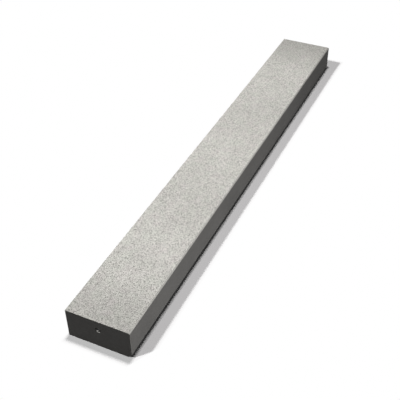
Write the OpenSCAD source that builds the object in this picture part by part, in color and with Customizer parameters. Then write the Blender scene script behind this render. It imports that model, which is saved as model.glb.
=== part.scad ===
// Precast concrete step block, with a lifting socket cast into each end.
// X runs along the step, -Y is its front (the riser), and +Z is up.
// The origin is on the underside, at the middle of the length and the depth.

/* [Step block] */
// Length of the step, end to end
block_length = 3000; // [500:50:4000]
// Depth of the tread, from the riser to the back
block_depth = 350; // [200:10:500]
// Height of the riser
block_height = 175; // [120:5:300]
// Bevel along the top front edge, the nosing
nosing_bevel = 6; // [1:1:25]
// Bevel along the bottom front edge, above the tread below
bottom_bevel = 24; // [1:1:60]

/* [Recesses in the ends] */
// Distance of the socket axes below the tread
socket_drop = 60; // [30:5:90]
// Ring of the recess that stands clear around each sleeve
recess_ring = 2; // [1:0.5:10]
// Depth of the recess, from the end of the block to the socket
recess_depth = 10; // [2:1:30]

/* [Lifting sockets] */
// Outside diameter of the sleeve
sleeve_d = 22; // [20:1:26]
// Length of the socket, foot included
socket_length = 70; // [64:1:150]
// Core diameter of the thread, for an M16 lifting eye
thread_core_d = 14; // [6:0.5:16]
// Depth of the threaded hole, without the point of its drill
thread_depth = 50; // [20:1:56]
// Included angle of the drill point at the bottom of the hole
drill_angle = 118; // [100:1:135]
// Lead-in bevel at the mouth of the thread
lead_in = 1; // [0.5:0.5:1.5]
// Diameter of the forged foot that bears in the concrete
socket_foot_d = 36; // [28:1:50]
// Thickness of the foot at its rim
socket_foot_t = 5; // [3:1:8]

/* [Hidden] */
$fn = 96;

left_end = -1;
right_end = 1;
front_y = -block_depth / 2;
back_y = block_depth / 2;
socket_height = block_height - socket_drop;
sleeve_r = sleeve_d / 2;
recess_r = sleeve_r + recess_ring;
thread_core_r = thread_core_d / 2;
drill_point = thread_core_r / tan(drill_angle / 2);
socket_foot_r = socket_foot_d / 2;
// The foot flares out from the sleeve at 45 degrees.
foot_rim_x = socket_length - socket_foot_t;
foot_flare_x = foot_rim_x - (socket_foot_r - sleeve_r);
// Tools that cut out through a face start this far in front of it.
overrun = 1;

// Places its children in an end of the block, in a frame whose origin is the
// middle of the socket's mouth and whose +Z points into the block.
module in_end(side) {
    translate([side * (block_length / 2 - recess_depth), 0, socket_height])
        rotate([0, -side * 90, 0])
            children();
}

// Section of the step in the YZ plane, with its two front bevels.
module step_section() {
    polygon([
        [back_y, 0],
        [back_y, block_height],
        [front_y + nosing_bevel, block_height],
        [front_y, block_height - nosing_bevel],
        [front_y, bottom_bevel],
        [front_y + bottom_bevel, 0],
    ]);
}

// Outside of a socket, which is also the shape that it leaves in the concrete.
module socket_outside() {
    rotate_extrude()
        polygon([
            [0, 0],
            [sleeve_r, 0],
            [sleeve_r, foot_flare_x],
            [socket_foot_r, foot_rim_x],
            [socket_foot_r, socket_length],
            [0, socket_length],
        ]);
}

// Round recess that the mould leaves between a socket and the end face.
module recess() {
    translate([0, 0, -recess_depth - overrun])
        cylinder(r = recess_r, h = recess_depth + overrun);
}

// Threaded hole at the core diameter of its thread, with a lead-in at the mouth
// and a drill point at the bottom.
module threaded_hole() {
    rotate_extrude()
        polygon([
            [0, -overrun],
            [thread_core_r + lead_in + overrun, -overrun],
            [thread_core_r, lead_in],
            [thread_core_r, thread_depth],
            [0, thread_depth + drill_point],
        ]);
}

// One forged steel socket, shown where it sits in the end of the block.
module lifting_socket(side) {
    color([0.62, 0.63, 0.63])
        in_end(side)
            difference() {
                socket_outside();
                threaded_hole();
            }
}

module step_block() {
    color([0.74, 0.74, 0.72])
        difference() {
            rotate([90, 0, 90])
                linear_extrude(height = block_length, center = true)
                    step_section();
            for (side = [left_end, right_end])
                in_end(side) {
                    socket_outside();
                    recess();
                }
        }
}

step_block();
lifting_socket(left_end);  // lifting_socket_left
lifting_socket(right_end);  // lifting_socket_right
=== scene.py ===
import math

import bpy
from mathutils import Matrix, Quaternion, Vector, noise


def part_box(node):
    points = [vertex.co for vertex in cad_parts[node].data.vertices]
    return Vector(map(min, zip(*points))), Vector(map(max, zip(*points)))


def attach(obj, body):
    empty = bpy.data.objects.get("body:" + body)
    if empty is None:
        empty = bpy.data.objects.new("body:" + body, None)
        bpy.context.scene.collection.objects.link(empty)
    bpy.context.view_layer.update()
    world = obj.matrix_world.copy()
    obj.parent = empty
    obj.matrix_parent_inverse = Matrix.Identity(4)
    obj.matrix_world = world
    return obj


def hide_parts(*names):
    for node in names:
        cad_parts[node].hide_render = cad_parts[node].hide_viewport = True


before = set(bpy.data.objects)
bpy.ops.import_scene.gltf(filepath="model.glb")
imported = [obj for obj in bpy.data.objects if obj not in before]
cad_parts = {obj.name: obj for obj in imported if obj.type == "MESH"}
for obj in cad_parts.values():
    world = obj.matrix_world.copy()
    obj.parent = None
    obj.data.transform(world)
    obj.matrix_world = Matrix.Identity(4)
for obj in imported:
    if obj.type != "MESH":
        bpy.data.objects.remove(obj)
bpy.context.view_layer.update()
print("frame loaded:", sorted(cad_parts))


# Small helpers for meshes and shader trees

def plug(tree, value, socket):
    # another node's socket is linked, anything else becomes the input's own value
    if isinstance(value, bpy.types.NodeSocket):
        tree.links.new(value, socket)
    elif socket.type == "RGBA":
        socket.default_value = (*value, 1.0)
    else:
        socket.default_value = value


def addNode(tree, kind, inputs=None, **settings):
    node = tree.nodes.new(kind)
    for name, value in settings.items():
        setattr(node, name, value)
    for name, value in (inputs or {}).items():
        plug(tree, value, node.inputs[name])
    return node


def addGroup(tree, group, **inputs):
    # the group's inputs are given by name, with their first letter small
    node = tree.nodes.new("ShaderNodeGroup")
    node.node_tree = group
    for name, value in inputs.items():
        plug(tree, value, node.inputs[name[0].upper() + name[1:]])
    return node.outputs


def newMaterial(name):
    material = bpy.data.materials.new(name)
    material.use_nodes = True
    material.node_tree.nodes.clear()
    return material, material.node_tree


def newGroup(name, inputs, outputs):
    # inputs and outputs are (name, kind) or (name, kind, default)
    tree = bpy.data.node_groups.new(name, "ShaderNodeTree")
    for way, sockets in (("INPUT", inputs), ("OUTPUT", outputs)):
        for title, kind, *default in sockets:
            socket = tree.interface.new_socket(title, in_out=way, socket_type="NodeSocket" + kind)
            if default:
                socket.default_value = default[0]
    return tree, tree.nodes.new("NodeGroupInput").outputs, tree.nodes.new("NodeGroupOutput").inputs


def mixColor(tree, factor, first, second, blend="MIX"):
    node = addNode(tree, "ShaderNodeMix", data_type="RGBA", blend_type=blend)
    plug(tree, factor, node.inputs[0])
    plug(tree, first, node.inputs[6])  # 6 and 7 are the two colours
    plug(tree, second, node.inputs[7])
    return node.outputs[2]


def mathNode(tree, operation, first, second=None, third=None):
    node = addNode(tree, "ShaderNodeMath", operation=operation)
    for value, socket in zip((first, second, third), node.inputs):
        if value is not None:
            plug(tree, value, socket)
    return node.outputs[0]


def vectorNode(tree, operation, first, second=None, output="Vector"):
    node = addNode(tree, "ShaderNodeVectorMath", operation=operation)
    for value, socket in zip((first, second), node.inputs):
        if value is not None:
            plug(tree, value, socket)
    return node.outputs[output]


def ramp(tree, value, low, high, toLow=0.0, toHigh=1.0):
    # smooth step from toLow to toHigh
    limits = {"Value": value, "From Min": low, "From Max": high, "To Min": toLow, "To Max": toHigh}
    return addNode(tree, "ShaderNodeMapRange", limits, interpolation_type="SMOOTHSTEP").outputs["Result"]


def between(tree, mask, low, high):
    # straight from low to high as the mask goes from 0 to 1
    return mathNode(tree, "MULTIPLY_ADD", mask, high - low, low)


def scaled(color, factor):
    return tuple(part * factor for part in color)


stepPieces = bpy.data.collections.new("stepBlock")
bpy.context.scene.collection.children.link(stepPieces)


def newPiece(name, points, faces, materials, sharpAngle, faceMaterials=None):
    mesh = bpy.data.meshes.new(name)
    mesh.from_pydata(points, [], faces)
    mesh.update()
    for material in materials:
        mesh.materials.append(material)
    if faceMaterials:
        mesh.polygons.foreach_set("material_index", faceMaterials)
    mesh.shade_smooth()
    mesh.set_sharp_from_angle(angle=math.radians(sharpAngle))
    piece = bpy.data.objects.new(name, mesh)
    piece.visible_diffuse = False  # the block's own bounce would fill the shadows beside it
    stepPieces.objects.link(piece)
    return piece


def loftFaces(ringCount, ringSize):
    # quads between closed rings that follow each other, with a fan to a tip at each end;
    # the points are the first tip, the rings, and the last tip
    def at(k, i):
        return 1 + k * ringSize + i % ringSize

    last = ringCount - 1
    lastTip = 1 + ringCount * ringSize
    faces = [(0, at(0, i + 1), at(0, i)) for i in range(ringSize)]
    for k in range(last):
        for i in range(ringSize):
            faces.append((at(k, i), at(k, i + 1), at(k + 1, i + 1), at(k + 1, i)))
    faces += [(at(last, i), at(last, i + 1), lastTip) for i in range(ringSize)]
    return faces


# Camera

cameraLook = {
    "eye": (-3.3449, -1.4247, 2.7628),
    "heading": 25.627,  # degrees from +X towards +Y
    "down": 39.342,  # degrees below level
    "roll": -0.842,  # degrees
    "sensor": 36.0,  # mm
    "lens": 66.26,  # mm
}


def makeCamera(look):
    data = bpy.data.cameras.new("camera")
    data.sensor_width = look["sensor"]
    data.lens = look["lens"]
    camera = bpy.data.objects.new("camera", data)
    bpy.context.scene.collection.objects.link(camera)
    heading = math.radians(look["heading"])
    down = math.radians(look["down"])
    level = math.cos(down)
    gaze = Vector((level * math.cos(heading), level * math.sin(heading), -math.sin(down)))
    tilt = Quaternion((0.0, 0.0, 1.0), math.radians(look["roll"]))
    camera.location = look["eye"]
    camera.rotation_mode = "QUATERNION"
    camera.rotation_quaternion = gaze.to_track_quat("-Z", "Y") @ tilt
    bpy.context.scene.camera = camera


makeCamera(cameraLook)
print("camera ready")


# Studio: a white floor, two soft keys high above it, and low strips that light only the block

studioLook = {
    "floorSize": 40.0,
    "floorSeen": (1.105, 1.105, 1.105),
    "floorBounce": (0.03, 0.03, 0.03),
    # the floor shows its shading between these two corners, and turns into the backdrop around them
    "shadedFrom": (-1.542, -0.248, 0.0),
    "shadedTo": (1.638, 0.178, 0.0),
    # past this point in this direction it is backdrop too; a longer direction turns faster
    "cutPoint": (-1.5, -0.195, 0.0),
    "cutAcross": (-0.80, -1.50, 0.0),
    "whiteReach": 0.018,
    "backdropSeen": (1.0, 1.0, 1.0),
    "worldFill": (0.025, 0.025, 0.025),
}

keyPanels = {
    # throws the shadow beside the riser and past the right end
    "sideKey": {
        "place": (-5.8, 3.71, 9.9),
        "aim": (4.2, 3.21, 8.9),
        "width": 0.68,
        "height": 0.68,
        "power": 1318.0,
    },
    # stands over the block; throws the shadow of the left end and the dark line under the riser
    "backKey": {
        "place": (0.063, 0.108, 7.6),
        "aim": (0.063, 0.108, 0.0),
        "width": 0.76,
        "height": 0.84,
        "power": 251.0,
        "color": (1.0, 0.981, 0.986),
    },
}

lowStrips = {
    "frontStrip": {
        "place": (-1.25, -3.55, 0.1),
        "aim": (-1.25, 0.0, 0.1),
        "width": 1.2,
        "height": 0.14,
        "power": 84.0,
    },
    "backStrip": {
        "place": (0.0, 3.55, 0.1),
        "aim": (0.0, 0.0, 0.1),
        "width": 2.0,
        "height": 0.14,
        "power": 50.0,
    },
    "endStrip": {
        "place": (4.5, 0.6, 0.1),
        "aim": (1.5, 0.0, 0.1),
        "width": 1.0,
        "height": 0.14,
        "power": 40.0,
    },
}


def seenDirectly(tree):
    # 1 for the rays that show the background, 0 for the ones that light the block
    path = addNode(tree, "ShaderNodeLightPath").outputs
    reflected = mathNode(tree, "MAXIMUM", path["Is Glossy Ray"], path["Is Transmission Ray"])
    return mathNode(tree, "MAXIMUM", path["Is Camera Ray"], reflected)


def outsideShading(tree, look):
    # distance on the floor from the place where its shading shows
    place = addNode(tree, "ShaderNodeTexCoord").outputs["Object"]
    low = Vector(look["shadedFrom"])
    high = Vector(look["shadedTo"])
    fromMiddle = vectorNode(tree, "ABSOLUTE", vectorNode(tree, "SUBTRACT", place, (low + high) / 2))
    past = vectorNode(tree, "SUBTRACT", fromMiddle, (high - low) / 2)
    outside = vectorNode(tree, "MAXIMUM", past, (0, 0, 0))
    fromBox = vectorNode(tree, "LENGTH", outside, output="Value")
    fromPoint = vectorNode(tree, "SUBTRACT", place, look["cutPoint"])
    fromCut = vectorNode(tree, "DOT_PRODUCT", fromPoint, look["cutAcross"], output="Value")
    return mathNode(tree, "MAXIMUM", fromBox, fromCut)


def makeFloor(look):
    half = look["floorSize"] / 2
    mesh = bpy.data.meshes.new("studioFloor")
    corners = [(-half, -half, 0), (half, -half, 0), (half, half, 0), (-half, half, 0)]
    mesh.from_pydata(corners, [], [(0, 1, 2, 3)])
    floor = bpy.data.objects.new("studioFloor", mesh)
    bpy.context.scene.collection.objects.link(floor)
    material, tree = newMaterial("studioFloor")
    tone = mixColor(tree, seenDirectly(tree), look["floorBounce"], look["floorSeen"])
    surface = addNode(tree, "ShaderNodeBsdfDiffuse", {"Color": tone})
    white = addNode(tree, "ShaderNodeEmission", {"Color": look["backdropSeen"], "Strength": 1.0})
    turned = ramp(tree, outsideShading(tree, look), 0.0, look["whiteReach"])
    away = mathNode(tree, "MULTIPLY", seenDirectly(tree), turned)
    blend = addNode(tree, "ShaderNodeMixShader", {0: away, 1: surface.outputs[0], 2: white.outputs[0]})
    addNode(tree, "ShaderNodeOutputMaterial", {"Surface": blend.outputs[0]})
    mesh.materials.append(material)


def makeWorld(look):
    world = bpy.data.worlds.new("studio")
    world.use_nodes = True
    tree = world.node_tree
    tree.nodes.clear()
    tone = mixColor(tree, seenDirectly(tree), look["worldFill"], look["backdropSeen"])
    light = addNode(tree, "ShaderNodeBackground", {"Color": tone, "Strength": 1.0})
    addNode(tree, "ShaderNodeOutputWorld", {"Surface": light.outputs[0]})
    bpy.context.scene.world = world


def makePanel(name, look):
    data = bpy.data.lights.new(name, "AREA")
    data.shape = "RECTANGLE"
    data.size = look["width"]
    data.size_y = look["height"]
    data.energy = look["power"]
    data.color = look.get("color", (1.0, 1.0, 1.0))
    panel = bpy.data.objects.new(name, data)
    panel.location = look["place"]
    gaze = Vector(look["aim"]) - Vector(look["place"])
    panel.rotation_mode = "QUATERNION"
    panel.rotation_quaternion = gaze.to_track_quat("-Z", "Y")
    panel.visible_camera = False
    bpy.context.scene.collection.objects.link(panel)
    return panel


makeFloor(studioLook)
makeWorld(studioLook)
for name, look in keyPanels.items():
    makePanel(name, look)
for name, look in lowStrips.items():
    # the strips light the step block only, so that the floor keeps its shadows
    makePanel(name, look).light_linking.receiver_collection = stepPieces
bpy.context.scene.view_settings.view_transform = "Standard"
print("studio ready")


# Effects that several finishes share

def makeSoftClouds():
    # slow changes of tone around 1
    tree, given, made = newGroup(
        "softClouds",
        [("Vector", "Vector"), ("Size", "Float", 0.1), ("Spread", "Float", 0.1)],
        [("Tone", "Float"), ("Mask", "Float")])
    scale = mathNode(tree, "DIVIDE", 1.0, given["Size"])
    cloud = addNode(tree, "ShaderNodeTexNoise",
                    {"Vector": given["Vector"], "Scale": scale, "Detail": 3.0, "Roughness": 0.55})
    lowNoise, highNoise = 0.3, 0.7  # the part of the noise that the mask stretches
    mask = ramp(tree, cloud.outputs["Fac"], lowNoise, highNoise)
    either = between(tree, mask, -1.0, 1.0)
    plug(tree, mathNode(tree, "MULTIPLY_ADD", either, given["Spread"], 1.0), made["Tone"])
    plug(tree, mask, made["Mask"])
    return tree


def makeFineGrain():
    # sand grains or crystals: their tone around 1, most a little light and a few dark, and their height
    tree, given, made = newGroup(
        "fineGrain",
        [("Vector", "Vector"), ("Size", "Float", 0.004), ("Spread", "Float", 0.2)],
        [("Tone", "Float"), ("Height", "Float")])
    scale = mathNode(tree, "DIVIDE", 1.0, given["Size"])
    cells = addNode(tree, "ShaderNodeTexVoronoi", {"Vector": given["Vector"], "Scale": scale})
    parts = addNode(tree, "ShaderNodeSeparateColor", {0: cells.outputs["Color"]}).outputs
    rarity = 3.0  # a higher power leaves fewer dark grains
    lightest, darkest = 0.55, -1.65
    either = between(tree, mathNode(tree, "POWER", parts[0], rarity), lightest, darkest)
    plug(tree, mathNode(tree, "MULTIPLY_ADD", either, given["Spread"], 1.0), made["Tone"])
    dome = mathNode(tree, "SUBTRACT", 1.0, cells.outputs["Distance"])
    plug(tree, mathNode(tree, "MULTIPLY", dome, parts[1]), made["Height"])
    return tree


def makeSpots():
    # round spots in a share of the cells: pores, pits or bright grains
    tree, given, made = newGroup(
        "spots",
        [("Vector", "Vector"), ("Size", "Float", 0.01), ("Share", "Float", 0.1), ("Reach", "Float", 0.3)],
        [("Mask", "Float")])
    scale = mathNode(tree, "DIVIDE", 1.0, given["Size"])
    cells = addNode(tree, "ShaderNodeTexVoronoi",
                    {"Vector": given["Vector"], "Scale": scale, "Randomness": 0.9})
    parts = addNode(tree, "ShaderNodeSeparateColor", {0: cells.outputs["Color"]}).outputs
    chosen = mathNode(tree, "LESS_THAN", parts[0], given["Share"])
    smallest = 0.3  # as a part of the largest spot
    core = 0.55  # the part of a spot's radius that has its full tone
    radius = mathNode(tree, "MULTIPLY", given["Reach"], between(tree, parts[1], smallest, 1.0))
    disc = ramp(tree, cells.outputs["Distance"], mathNode(tree, "MULTIPLY", radius, core), radius, 1.0, 0.0)
    plug(tree, mathNode(tree, "MULTIPLY", disc, chosen), made["Mask"])
    return tree


def makeArrisWear():
    # rubbed places along the edges, where the mesh's own nearness value is high
    tree, given, made = newGroup(
        "arrisWear",
        [("Vector", "Vector"), ("Near", "Float", 0.0), ("Size", "Float", 0.02), ("Amount", "Float", 0.5)],
        [("Mask", "Float")])
    scale = mathNode(tree, "DIVIDE", 1.0, given["Size"])
    patches = addNode(tree, "ShaderNodeTexNoise",
                      {"Vector": given["Vector"], "Scale": scale, "Detail": 4.0, "Roughness": 0.65})
    fade = 0.35  # a patch reaches its full tone this far past its rim
    reach = mathNode(tree, "ADD", given["Near"], mathNode(tree, "SUBTRACT", patches.outputs["Fac"], 1.0))
    plug(tree, mathNode(tree, "MULTIPLY", ramp(tree, reach, 0.0, fade), given["Amount"]), made["Mask"])
    return tree


softClouds = makeSoftClouds()
fineGrain = makeFineGrain()
spots = makeSpots()
arrisWear = makeArrisWear()
print("shared effects ready")


# Finishes: sizes and reliefs in metres, clouds as (size, spread), roughness as (smoothest, roughest)

treadFinish = {
    "color": (0.644, 0.6355, 0.5945),
    "pinkTint": (0.673, 0.6215, 0.609),  # faint blotches of pinker and greener paste
    "greenTint": (0.618, 0.647, 0.574),
    "tintSize": 0.055,
    "tintAmount": 0.4,
    "grains": ((0.003, 0.37), (0.0065, 0.13)),  # size and spread of each size of grain
    "clouds": ((0.025, 0.02), (0.16, 0.03)),
    "pitSize": 0.011,  # spacing; share is how many cells have a pit, reach its largest radius in spacings
    "pitShare": 0.17,
    "pitReach": 0.34,
    # the pits are darkened in colour as painted shade in their hollows; the bump also sinks them
    "pitShadeTone": 0.35,
    "pitShadeAmount": 0.6,
    "flintSize": 0.014,
    "flintShare": 0.04,
    "flintReach": 0.25,
    "flintColor": (0.95, 0.94, 0.90),
    "secondPattern": (1.7, 0.4, 0.9),  # keeps the greener blotches and the flints off the first patterns
    "leftEndShade": (0.34, 0.835),  # painted shade at each end, where the light falls off: length of the darker stretch at each end, and its tone
    "rightEndShade": (0.42, 0.775),
    "liftLength": 0.9,  # slow bands along the length, one for each pour into the mould
    "liftSpread": 0.03,
    # painted shade: the whole tread a little darker towards the right end
    "farShade": 0.965,
    "roughness": (0.78, 0.93),
    "specular": 0.02,
    "relief": 0.0009,
}

formedFinishWithShade = {
    # darker than the tread: partly the formed faces' own tone, partly painted shade of the sides and ends
    "color": (0.146, 0.1425, 0.137),
    "clouds": ((0.03, 0.03), (0.25, 0.05)),
    "grainSize": 0.0018,
    "grainSpread": 0.10,
    "grainHeight": 0.4,
    "poreSize": 0.022,
    "poreShare": 0.22,
    "poreReach": 0.11,
    # the pores are darkened in colour as painted shade in their hollows; the bump also sinks them
    "poreShadeTone": 0.3,
    "poreShadeAmount": 0.5,
    "wearColor": (0.40, 0.395, 0.375),
    "wearSize": 0.022,
    "wearAmount": 0.12,
    "roughness": (0.68, 0.88),
    "specular": 0.02,
    "relief": 0.0004,
}

nosingFinishWithShade = {
    **formedFinishWithShade,
    # between the tread's and the sides' colour: partly the bevel's own tone, partly painted shade of the
    # bevel
    "color": (0.40, 0.395, 0.370),
    "clouds": ((0.03, 0.06), (0.25, 0.05)),
    "grainSize": 0.003,
    "grainSpread": 0.2,
    "wearColor": (0.56, 0.55, 0.52),
}

recessFinish = {
    "color": (0.60, 0.59, 0.56),
    "depth": 0.010,
    "paintedDepthShade": 0.7,  # painted shade, darker deeper into the recess towards the socket
    "paintedSideLight": (-0.003, 0.009),  # painted light and shade on the deep wall, dark at the front and pale towards the back, from here to here
    "paintedSideLightTones": (0.05, 1.6),
    "lipHighlightTone": 1.6,  # painted highlight on the lip, palest between these two stretches and black in front of and behind them
    "lipHighlightFront": (-0.014, -0.009),
    "lipHighlightBack": (0.006, -0.002),
    "lipHighlightDepth": 0.003,
    "grainSize": 0.0015,
    "grainSpread": 0.14,
    "stainSize": 0.012,
    "stainSpread": 0.15,
    "roughness": (0.70, 0.85),
    "specular": 0.02,
    "relief": 0.0003,
}

steelFinishWithShade = {
    # painted shade: much darker than the galvanised steel's own colour, so that the socket deep in its hole
    # reads dark
    "color": (0.13, 0.132, 0.135),
    "spangleSize": 0.004,
    "spangleSpread": 0.12,
    "dullSize": 0.006,
    "dullSpread": 0.08,
    "roughness": (0.5, 0.75),
    "relief": 0.0001,
}


def surfacePlace(tree):
    # positions on the surface in metres, in the part's own frame
    return addNode(tree, "ShaderNodeTexCoord").outputs["Object"]


def toned(tree, color, tones):
    # multiplies a colour by tones around 1
    for tone in tones:
        color = mixColor(tree, 1.0, color, tone, "MULTIPLY")
    return color


def finishSurface(tree, look, color, roughMask, height, fixed):
    # the mask goes from the look's smoother places to its rougher ones
    bump = addNode(tree, "ShaderNodeBump", {"Height": height, "Distance": look["relief"], "Strength": 1.0})
    surface = addNode(tree, "ShaderNodeBsdfPrincipled", {
        "Base Color": color,
        "Roughness": between(tree, roughMask, *look["roughness"]),
        "Normal": bump.outputs["Normal"],
        **fixed,
    })
    addNode(tree, "ShaderNodeOutputMaterial", {"Surface": surface.outputs[0]})


def lengthTones(tree, look, place, halfLength):
    # slow changes along the step: painted shade that darkens both ends and a little towards the right, where
    # the light falls off, and pour bands
    along = addNode(tree, "ShaderNodeSeparateXYZ", {0: place}).outputs["X"]
    tones = []
    # painted shade of the light falling off towards each end
    for end, (reach, tone) in ((-halfLength, look["leftEndShade"]), (halfLength, look["rightEndShade"])):
        inward = end - math.copysign(reach, end)
        tones.append(ramp(tree, along, inward, end, 1.0, tone))
    band = mathNode(tree, "COSINE", mathNode(tree, "MULTIPLY", along, math.tau / look["liftLength"]))
    tones.append(mathNode(tree, "MULTIPLY_ADD", band, look["liftSpread"], 1.0))
    tones.append(ramp(tree, along, -halfLength, halfLength, 1.0, look["farShade"]))
    return tones


def makeTreadMaterial(look, halfLength):
    material, tree = newMaterial("texturedTread")
    place = surfacePlace(tree)
    shifted = addNode(tree, "ShaderNodeMapping",
                      {"Vector": place, "Location": look["secondPattern"]}).outputs["Vector"]
    tones = []
    heights = []
    for size, spread in look["grains"]:
        grain = addGroup(tree, fineGrain, vector=place, size=size, spread=spread)
        tones.append(grain["Tone"])
        heights.append(grain["Height"])
    for size, spread in look["clouds"]:
        tones.append(addGroup(tree, softClouds, vector=place, size=size, spread=spread)["Tone"])
    tones += lengthTones(tree, look, place, halfLength)
    color = look["color"]
    for spot, tint in ((place, look["pinkTint"]), (shifted, look["greenTint"])):
        blotch = addGroup(tree, softClouds, vector=spot, size=look["tintSize"], spread=0.0)["Mask"]
        color = mixColor(tree, mathNode(tree, "MULTIPLY", blotch, look["tintAmount"]), color, tint)
    color = toned(tree, color, tones)
    pits = addGroup(tree, spots, vector=place, size=look["pitSize"], share=look["pitShare"],
                    reach=look["pitReach"])["Mask"]
    # painted shade in the pits
    color = mixColor(tree, mathNode(tree, "MULTIPLY", pits, look["pitShadeAmount"]),
                     color, scaled(look["color"], look["pitShadeTone"]))
    flints = addGroup(tree, spots, vector=shifted, size=look["flintSize"], share=look["flintShare"],
                      reach=look["flintReach"])["Mask"]
    color = mixColor(tree, flints, color, look["flintColor"])
    height = mathNode(tree, "SUBTRACT", mathNode(tree, "ADD", *heights), pits)
    finishSurface(tree, look, color, heights[0], height, {"Specular IOR Level": look["specular"]})
    return material


def makeFormedMaterial(name, look):
    material, tree = newMaterial(name)
    place = surfacePlace(tree)
    grain = addGroup(tree, fineGrain, vector=place, size=look["grainSize"], spread=look["grainSpread"])
    tones = [grain["Tone"]]
    for size, spread in look["clouds"]:
        tones.append(addGroup(tree, softClouds, vector=place, size=size, spread=spread)["Tone"])
    color = toned(tree, look["color"], tones)
    near = addNode(tree, "ShaderNodeAttribute", attribute_name="arrisNear").outputs["Fac"]
    wear = addGroup(tree, arrisWear, vector=place, near=near, size=look["wearSize"],
                    amount=look["wearAmount"])["Mask"]
    color = mixColor(tree, wear, color, look["wearColor"])
    pores = addGroup(tree, spots, vector=place, size=look["poreSize"], share=look["poreShare"],
                     reach=look["poreReach"])["Mask"]
    # painted shade in the pores
    color = mixColor(tree, mathNode(tree, "MULTIPLY", pores, look["poreShadeAmount"]),
                     color, scaled(look["color"], look["poreShadeTone"]))
    bumps = mathNode(tree, "MULTIPLY", grain["Height"], look["grainHeight"])
    height = mathNode(tree, "SUBTRACT", bumps, pores)
    finishSurface(tree, look, color, wear, height, {"Specular IOR Level": look["specular"]})
    return material


def makeRecessMaterial(look, halfLength):
    material, tree = newMaterial("recessConcrete")
    place = surfacePlace(tree)
    axes = addNode(tree, "ShaderNodeSeparateXYZ", {0: place}).outputs
    outward = mathNode(tree, "ABSOLUTE", axes["X"])
    # painted shade: darker deeper into the recess
    depthShade = ramp(tree, outward, halfLength, halfLength - look["depth"], 1.0, look["paintedDepthShade"])
    # painted light and shade across the deep wall, dark at the front and pale at the back
    paintedSideLight = ramp(tree, axes["Y"], *look["paintedSideLight"], *look["paintedSideLightTones"])
    # painted highlight on the lip, black in front of and behind it
    lipHighlightFront = ramp(tree, axes["Y"], *look["lipHighlightFront"], 0.0, look["lipHighlightTone"])
    lipHighlight = mathNode(tree, "MULTIPLY", lipHighlightFront, ramp(tree, axes["Y"], *look["lipHighlightBack"]))
    inside = ramp(tree, outward, halfLength, halfLength - look["lipHighlightDepth"])
    # the painted lip highlight near the mouth, the painted light and shade across the wall deeper in
    paintedLightAcross = mixColor(tree, inside, lipHighlight, paintedSideLight)
    grain = addGroup(tree, fineGrain, vector=place, size=look["grainSize"], spread=look["grainSpread"])
    stain = addGroup(tree, softClouds, vector=place, size=look["stainSize"], spread=look["stainSpread"])
    color = toned(tree, look["color"], (grain["Tone"], stain["Tone"], depthShade, paintedLightAcross))
    finishSurface(tree, look, color, stain["Mask"], grain["Height"],
                  {"Specular IOR Level": look["specular"]})
    return material


def makeSteelMaterial(look):
    material, tree = newMaterial("galvanisedSteel")
    place = surfacePlace(tree)
    spangle = addGroup(tree, fineGrain, vector=place, size=look["spangleSize"],
                       spread=look["spangleSpread"])
    dull = addGroup(tree, softClouds, vector=place, size=look["dullSize"], spread=look["dullSpread"])
    color = toned(tree, look["color"], (spangle["Tone"], dull["Tone"]))
    finishSurface(tree, look, color, dull["Mask"], spangle["Height"], {"Metallic": 1.0})
    return material


blockLow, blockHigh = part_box("step_block")
texturedTread = makeTreadMaterial(treadFinish, blockHigh.x)
formedConcrete = makeFormedMaterial("formedConcrete", formedFinishWithShade)
nosingConcrete = makeFormedMaterial("nosingConcrete", nosingFinishWithShade)
recessConcrete = makeRecessMaterial(recessFinish, blockHigh.x)
galvanisedSteel = makeSteelMaterial(steelFinishWithShade)
print("finishes ready")


# Sockets: turned outside, and an M16 thread cut round the core hole of the CAD socket

socketShape = {
    "recessRadius": 0.013,
    "recessDepth": 0.010,
    "sleeveRadius": 0.011,
    "footRadius": 0.018,
    "footThickness": 0.005,
    "length": 0.070,
    "coreRadius": 0.007,
    "majorRadius": 0.008,
    "pitch": 0.002,
    "veeGain": 1.35,  # these two leave small flats on the thread's crests and roots
    "crestFlat": 0.1,
    "runOutTurns": 2,
    "threadLength": 0.050,
    "leadIn": 0.001,
    "drillAngle": 118.0,
    "edgeRadius": 0.0004,
    "segments": 64,
    "stepsPerTurn": 8,
    "sharpAngle": 40.0,
}


def threadRadius(look, angle, depth):
    # a vee thread that starts in the lead-in and runs out before the drill point
    turn = depth / look["pitch"] - angle / math.tau
    groove = 1.0 - abs(2.0 * (turn % 1.0) - 1.0)
    left = (look["threadLength"] - depth) / (look["runOutTurns"] * look["pitch"])
    runOut = min(1.0, max(0.0, left))
    cut = max(0.0, min(1.0, look["veeGain"] * groove - look["crestFlat"])) * runOut
    mouth = look["coreRadius"] + max(0.0, look["leadIn"] - depth)
    return max(mouth, look["coreRadius"] + cut * (look["majorRadius"] - look["coreRadius"]))


def socketOutside(look):
    # (depth, radius) from the sleeve's mouth along the outside to the foot's far face
    rimDepth = look["length"] - look["footThickness"]
    flareDepth = rimDepth - (look["footRadius"] - look["sleeveRadius"])
    return [
        (0.0, look["sleeveRadius"]),
        (flareDepth, look["sleeveRadius"]),
        (rimDepth, look["footRadius"]),
        (look["length"], look["footRadius"]),
    ]


def axisHeight(node):
    low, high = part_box(node)
    return (low.z + high.z) / 2


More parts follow.
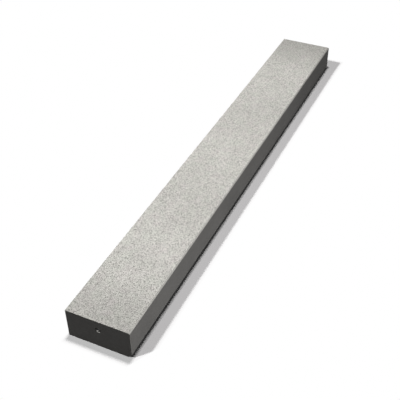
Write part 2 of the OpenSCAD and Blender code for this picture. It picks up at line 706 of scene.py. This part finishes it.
def makeSocket(name, node, look, turned=False):
    # built for the left end, in line with +X, and turned half round for the right end
    height = axisHeight(node)
    mouth = blockLow.x + look["recessDepth"]
    drillPoint = look["coreRadius"] / math.tan(math.radians(look["drillAngle"] / 2))
    count = look["segments"]
    angles = [math.tau * i / count for i in range(count)]
    steps = round(look["threadLength"] / look["pitch"] * look["stepsPerTurn"])
    rings = []
    for step in range(steps, -1, -1):
        depth = look["threadLength"] * step / steps
        rings.append([(depth, threadRadius(look, angle, depth)) for angle in angles])
    soft = look["edgeRadius"]
    rings.append([(0.0, look["sleeveRadius"] - soft)] * count)
    rings.append([(soft, look["sleeveRadius"])] * count)
    for profilePoint in socketOutside(look)[1:]:
        rings.append([profilePoint] * count)
    points = [(mouth + look["threadLength"] + drillPoint, 0.0, height)]
    for ring in rings:
        for angle, (depth, radius) in zip(angles, ring):
            points.append((mouth + depth, radius * math.cos(angle), height + radius * math.sin(angle)))
    points.append((mouth + look["length"], 0.0, height))
    faces = loftFaces(len(rings), count)
    socket = newPiece(name, points, faces, [galvanisedSteel], look["sharpAngle"])
    if turned:
        socket.data.transform(Matrix.Rotation(math.pi, 4, "Z"))
    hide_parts(node)
    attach(socket, "root")


makeSocket("threadedSocketLeft", "lifting_socket_left", socketShape)
makeSocket("threadedSocketRight", "lifting_socket_right", socketShape, turned=True)
print("sockets ready")


# Block: its section swept along X as one closed skin, recesses and socket seats included

blockShape = {
    "nosingBevel": 0.006,
    "bottomBevel": 0.024,
    "arrisRadius": 0.0012,  # left on every long edge by the mould's fillet
    "endArrisRadius": 0.0009,
    "arrisSteps": 4,
    "spacing": {"back": 0.011, "tread": 0.009, "nosing": 0.004, "riser": 0.009, "drip": 0.006, "bed": 0.022},
    "stationSpacing": 0.0075,
    "edgeSpacing": 0.0025,
    "spacingGrowth": 1.5,
    "capRings": 16,
    "mouthRadius": 0.0022,  # softened mouth of each recess
    "mouthSteps": 3,
    "wallShares": (0.66, 0.33),  # rings on the recess wall, as parts of its depth
    "broadRelief": 0.00018,
    "broadSize": 0.09,
    "fineRelief": 0.00012,
    "fineSize": 0.018,
    "chipDepth": 0.0022,
    "chipSize": 0.011,
    "chipFrom": 0.34,
    "chipReach": 0.006,  # how far from an edge chips fade out
    "wearReach": 0.010,  # how far from an edge its nearness value fades out
    "sharpAngle": 35.0,
}


def graded(length, spacing, look):
    # positions from 0 to length, close together at both ends and spacing apart in the middle
    steps = [look["edgeSpacing"]]
    while steps[-1] * look["spacingGrowth"] < spacing:
        steps.append(steps[-1] * look["spacingGrowth"])
    middle = length - 2 * sum(steps)
    if middle < spacing:
        count = max(2, math.ceil(length / look["edgeSpacing"] / 2))
        return [length * i / count for i in range(count + 1)]
    count = round(middle / spacing)
    places = [0.0]
    for size in steps + [middle / count] * count + steps[::-1]:
        places.append(places[-1] + size)
    return places


def sectionCorners(look):
    # (side that starts here, its corner in Y and Z), in the order that turns the skin outwards
    front = blockLow.y
    back = blockHigh.y
    top = blockHigh.z
    return [
        ("back", Vector((back, 0.0))),
        ("tread", Vector((back, top))),
        ("nosing", Vector((front + look["nosingBevel"], top))),
        ("riser", Vector((front, top - look["nosingBevel"]))),
        ("drip", Vector((front, look["bottomBevel"]))),
        ("bed", Vector((front + look["bottomBevel"], 0.0))),
    ]


def roundedOutline(look):
    # the section as rounded corners joined by graded straights;
    # each point has its side, its place, its outward normal and its distance from the nearest corner
    corners = sectionCorners(look)
    radius = look["arrisRadius"]
    outline = []
    for k, (side, corner) in enumerate(corners):
        before = corners[k - 1][1]
        after = corners[(k + 1) % len(corners)][1]
        following = corners[(k + 2) % len(corners)][1]
        arriving = (corner - before).normalized()
        leaving = (after - corner).normalized()
        turn = arriving.angle(leaving)
        nextTurn = leaving.angle((following - after).normalized())
        cut = radius * math.tan(turn / 2)
        nextCut = radius * math.tan(nextTurn / 2)
        arrivingNormal = Vector((arriving.y, -arriving.x))
        leavingNormal = Vector((leaving.y, -leaving.x))
        center = corner - arriving * cut - arrivingNormal * radius
        for step in range(look["arrisSteps"] + 1):
            spun = Matrix.Rotation(turn * step / look["arrisSteps"], 2) @ arrivingNormal
            outline.append((side, center + spun * radius, spun, 0.0))
        length = (after - corner).length - cut - nextCut
        start = corner + leaving * cut
        for gone in graded(length, look["spacing"][side], look)[1:-1]:
            outline.append((side, start + leaving * gone, leavingNormal, min(gone, length - gone)))
    return outline


def reliefAt(place, look):
    broad = 0.5 + 0.5 * noise.noise(place / look["broadSize"])
    fine = 0.5 + 0.5 * noise.noise(place / look["fineSize"])
    return look["broadRelief"] * broad + look["fineRelief"] * fine


def chipAt(place, look):
    # small broken places, only where the noise is at its highest
    high = noise.noise(place / look["chipSize"]) - look["chipFrom"]
    return look["chipDepth"] * max(0.0, high) / (1.0 - look["chipFrom"])


def endRings(look, socket, outline, axis, outward):
    # rings from the seat of the socket out to the block's end arris;
    # each is its zone, its x, its places in Y and Z, its lean along X and its distance from the end
    end = blockHigh.x if outward > 0 else blockLow.x
    seat = socket["recessDepth"]
    wall = socket["recessRadius"]
    mouth = look["mouthRadius"]
    arris = look["endArrisRadius"]
    toAxis = [(place - axis).normalized() for _, place, _, _ in outline]
    rings = []

    def addCircle(depth, radius):
        rings.append(("recess", end - outward * depth, [axis + way * radius for way in toAxis], 0.0, 0.0))

    for depth, radius in reversed(socketOutside(socket)):
        addCircle(seat + depth, radius)
    addCircle(seat, wall)
    for share in look["wallShares"]:
        addCircle(mouth + (seat - mouth) * share, wall)
    for step in range(look["mouthSteps"] + 1):
        angle = math.pi / 2 * step / look["mouthSteps"]
        addCircle(mouth * (1 - math.sin(angle)), wall + mouth * (1 - math.cos(angle)))
    hole = [axis + way * (wall + mouth) for way in toAxis]
    rim = [place - normal * arris for _, place, normal, _ in outline]
    for ring in range(1, look["capRings"]):
        share = ring / look["capRings"]
        eased = share * share * (3 - 2 * share)
        share = eased * 0.5 + share * 0.5  # a little closer together at the hole and at the rim
        rings.append(("cap", end, [a.lerp(b, share) for a, b in zip(hole, rim)], outward, 0.0))
    for step in range(look["arrisSteps"], 0, -1):
        angle = math.pi / 2 * step / look["arrisSteps"]
        back = arris * (1 - math.cos(angle))
        places = [place - normal * back for _, place, normal, _ in outline]
        depth = arris * (1 - math.sin(angle))
        rings.append(("arris", end - outward * depth, places, outward * math.sin(angle), 0.0))
    return rings


def finishAt(zones, side):
    # the finish of a face between two rings, on this side of the section
    if "cap" in zones:
        return "formed"
    if "recess" in zones:
        return "recess"
    return side if side in ("tread", "nosing") else "formed"


def makeBlock(look, socket):
    outline = roundedOutline(look)
    axis = Vector((0.0, axisHeight("lifting_socket_left")))
    section = [place for _, place, _, _ in outline]
    start = blockLow.x + look["endArrisRadius"]
    length = blockHigh.x - blockLow.x - 2 * look["endArrisRadius"]
    stations = [("skin", start + gone, section, 0.0, min(gone, length - gone))
                for gone in graded(length, look["stationSpacing"], look)]
    left = endRings(look, socket, outline, axis, -1.0)
    right = endRings(look, socket, outline, axis, 1.0)
    chain = left + stations + right[::-1]

    seatEnd = socket["recessDepth"] + socket["length"]
    points = [(blockLow.x + seatEnd, 0.0, axis.y)]
    nearness = [0.0]
    for zone, x, places, lean, fromEnd in chain:
        level = math.sqrt(1 - lean * lean)
        for (_, _, normal, fromCorner), place in zip(outline, places):
            spot = Vector((x, place.x, place.y))
            near = 0.0
            if zone != "recess":
                away = min(fromCorner, fromEnd)
                sink = reliefAt(spot, look)
                if zone == "cap":
                    away = (place - axis).length - socket["recessRadius"]
                elif away < look["chipReach"]:
                    sink += chipAt(spot, look) * (1 - away / look["chipReach"])
                near = max(0.0, 1.0 - away / look["wearReach"])
                spot -= Vector((lean, normal.x * level, normal.y * level)) * sink
            points.append(spot)
            nearness.append(near)
    points.append((blockHigh.x - seatEnd, 0.0, axis.y))
    nearness.append(0.0)

    finishes = {
        "tread": texturedTread,
        "formed": formedConcrete,
        "recess": recessConcrete,
        "nosing": nosingConcrete,
    }
    fan = ["recess"] * len(outline)
    faceFinishes = list(fan)
    for ring, following in zip(chain, chain[1:]):
        faceFinishes += [finishAt((ring[0], following[0]), side) for side, _, _, _ in outline]
    faceFinishes += fan
    slots = list(finishes)
    faceMaterials = [slots.index(finish) for finish in faceFinishes]
    faces = loftFaces(len(chain), len(outline))
    block = newPiece("castBlock", points, faces, finishes.values(), look["sharpAngle"], faceMaterials)
    block.data.attributes.new("arrisNear", "FLOAT", "POINT").data.foreach_set("value", nearness)
    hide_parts("step_block")
    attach(block, "root")
    print("block ready:", len(points), "points,", len(outline), "round the section")


makeBlock(blockShape, socketShape)
